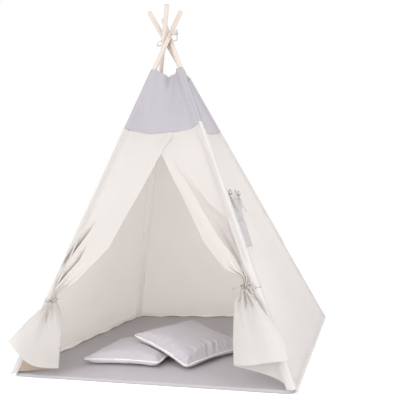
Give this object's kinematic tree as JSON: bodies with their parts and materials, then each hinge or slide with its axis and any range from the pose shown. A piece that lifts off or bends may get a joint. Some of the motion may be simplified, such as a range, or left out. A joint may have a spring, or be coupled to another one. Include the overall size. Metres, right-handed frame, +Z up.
{
  "type": "play teepee tent",
  "caption": "Child's teepee tent: four crossed wooden poles tied with rope, sleeved cotton cover with a tied-back door, side pocket, floor mat and loose cushions.",
  "frame": {"origin": "middle of the floor mat's underside, where it lies on the floor", "axes": "+Z up; -Y towards the door; +X to the right when facing the door, the side with the pocket"},
  "size_m": [1.1723, 1.1733, 1.601],
  "materials": {
    "pole_wood": "sanded, unvarnished pine",
    "cover_cotton": "plain-woven cotton canvas, ecru",
    "band_cotton": "plain-woven cotton canvas, pale lilac grey",
    "rope_cotton": "twisted cotton rope, natural",
    "ribbon_cotton": "woven cotton ribbon, ecru",
    "ribbon_grey": "woven cotton ribbon, pale grey",
    "pocket_cotton": "plain-woven cotton canvas, pale grey",
    "mat_cotton": "quilted cotton over wadding, pale lilac grey",
    "cushion_cotton": "soft cotton, pale lilac grey, with a lighter side strip"
  },
  "bodies": {
    "mat": {"floor_mat": "mat_cotton"},
    "lashing": {"crossing_rope": "rope_cotton", "rope_knot": "rope_cotton"},
    "leg_front_left": {"pole_front_left": "pole_wood", "sleeve_front_left": "cover_cotton", "door_tie_left": "ribbon_cotton"},
    "leg_front_right": {"pole_front_right": "pole_wood", "sleeve_front_right": "cover_cotton", "door_tie_right": "ribbon_cotton"},
    "leg_rear_right": {"pole_rear_right": "pole_wood", "sleeve_rear_right": "cover_cotton"},
    "leg_rear_left": {"pole_rear_left": "pole_wood", "sleeve_rear_left": "cover_cotton"},
    "cover_front": {"band_front": "band_cotton", "door_flap_left": "cover_cotton", "door_flap_right": "cover_cotton"},
    "cover_right": {"band_right": "band_cotton", "wall_right": "cover_cotton"},
    "cover_rear": {"band_rear": "band_cotton", "wall_rear": "cover_cotton"},
    "cover_left": {"band_left": "band_cotton", "wall_left": "cover_cotton"},
    "pocket": {"pocket_back": "pocket_cotton", "pocket_pouch": "pocket_cotton", "pocket_tie_left": "ribbon_grey", "pocket_tie_right": "ribbon_grey"},
    "cushion_left": {"cushion_left": "cushion_cotton"},
    "cushion_right": {"cushion_right": "cushion_cotton"}
  },
  "joints": [
    {"name": "lift", "type": "slide", "parent": "mat", "child": "lashing", "axis": [0, 0, 1], "range_m": [0, 0.55]},
    {"name": "fold_front_left", "type": "hinge", "parent": "lashing", "child": "leg_front_left", "pos_m": [0.01322, -0.01322, 1.46296], "axis": [0.7071, -0.7071, 0], "range_deg": [0, 21]},
    {"name": "fold_front_right", "type": "hinge", "parent": "lashing", "child": "leg_front_right", "pos_m": [0.01322, 0.01322, 1.45736], "axis": [0.7071, 0.7071, 0], "range_deg": [0, 21]},
    {"name": "fold_rear_right", "type": "hinge", "parent": "lashing", "child": "leg_rear_right", "pos_m": [-0.01322, 0.01322, 1.46296], "axis": [-0.7071, 0.7071, 0], "range_deg": [0, 21]},
    {"name": "fold_rear_left", "type": "hinge", "parent": "lashing", "child": "leg_rear_left", "pos_m": [-0.01322, -0.01322, 1.45736], "axis": [-0.7071, -0.7071, 0], "range_deg": [0, 21]},
    {"name": "gather_front", "type": "hinge", "parent": "lashing", "child": "cover_front", "pos_m": [0, 0, 1.46016], "axis": [1, 0, 0], "range_deg": [0, 15.7], "deforming": ["band_front", "door_flap_left", "door_flap_right"]},
    {"name": "gather_right", "type": "hinge", "parent": "lashing", "child": "cover_right", "pos_m": [0, 0, 1.46016], "axis": [0, 1, 0], "range_deg": [0, 15.7], "deforming": ["band_right", "wall_right", "pocket_back", "pocket_pouch", "pocket_tie_left", "pocket_tie_right"]},
    {"name": "gather_rear", "type": "hinge", "parent": "lashing", "child": "cover_rear", "pos_m": [0, 0, 1.46016], "axis": [-1, 0, 0], "range_deg": [0, 15.7], "deforming": ["band_rear", "wall_rear"]},
    {"name": "gather_left", "type": "hinge", "parent": "lashing", "child": "cover_left", "pos_m": [0, 0, 1.46016], "axis": [0, -1, 0], "range_deg": [0, 15.7], "deforming": ["band_left", "wall_left"]},
    {"name": "pocket_swing", "type": "hinge", "parent": "cover_right", "child": "pocket", "pos_m": [0.30195, 0, 0.69273], "axis": [0, -1, 0], "range_deg": [0, 75]},
    {"name": "cushion_left_push", "type": "slide", "parent": "mat", "child": "cushion_left", "axis": [-1, 0, 0], "range_m": [0, 0.2]},
    {"name": "cushion_right_out", "type": "slide", "parent": "mat", "child": "cushion_right", "axis": [-0.05, -0.9646, 0.2588], "range_m": [0, 0.65]}
  ],
  "couplings": [
    {"joint": "fold_front_left", "follows": "lift", "rad_per_m": 0.66639},
    {"joint": "fold_front_right", "follows": "lift", "rad_per_m": 0.66639},
    {"joint": "fold_rear_right", "follows": "lift", "rad_per_m": 0.66639},
    {"joint": "fold_rear_left", "follows": "lift", "rad_per_m": 0.66639},
    {"joint": "gather_front", "follows": "lift", "rad_per_m": 0.49821},
    {"joint": "gather_right", "follows": "lift", "rad_per_m": 0.49821},
    {"joint": "gather_rear", "follows": "lift", "rad_per_m": 0.49821},
    {"joint": "gather_left", "follows": "lift", "rad_per_m": 0.49821}
  ]
}
